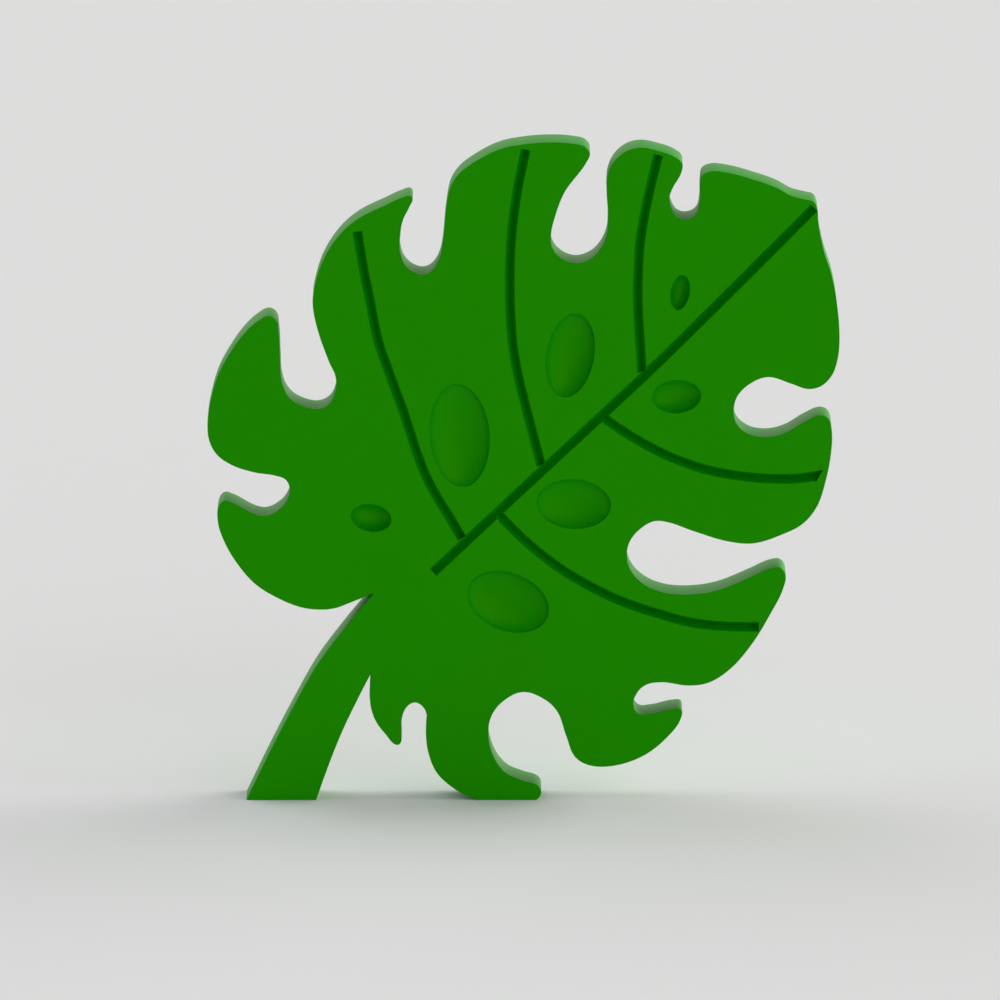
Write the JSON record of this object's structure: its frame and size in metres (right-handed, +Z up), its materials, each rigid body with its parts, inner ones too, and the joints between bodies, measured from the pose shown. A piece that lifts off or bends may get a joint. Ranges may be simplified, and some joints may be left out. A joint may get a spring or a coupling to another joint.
{
  "type": "monstera leaf figure",
  "caption": "Thick flat board figure in the form of a monstera leaf, with vein grooves and oval hollows, standing on its stem and lowest lobe.",
  "frame": {"origin": "on the floor, under the middle of the figure's box", "axes": "+Z up; the carved front looks along -Y; +X to the right as seen from the front"},
  "size_m": [0.947, 0.08, 1.001],
  "materials": {
    "green_paint": "satin"
  },
  "bodies": {
    "root": {"monstera_leaf": "green_paint"}
  },
  "joints": []
}
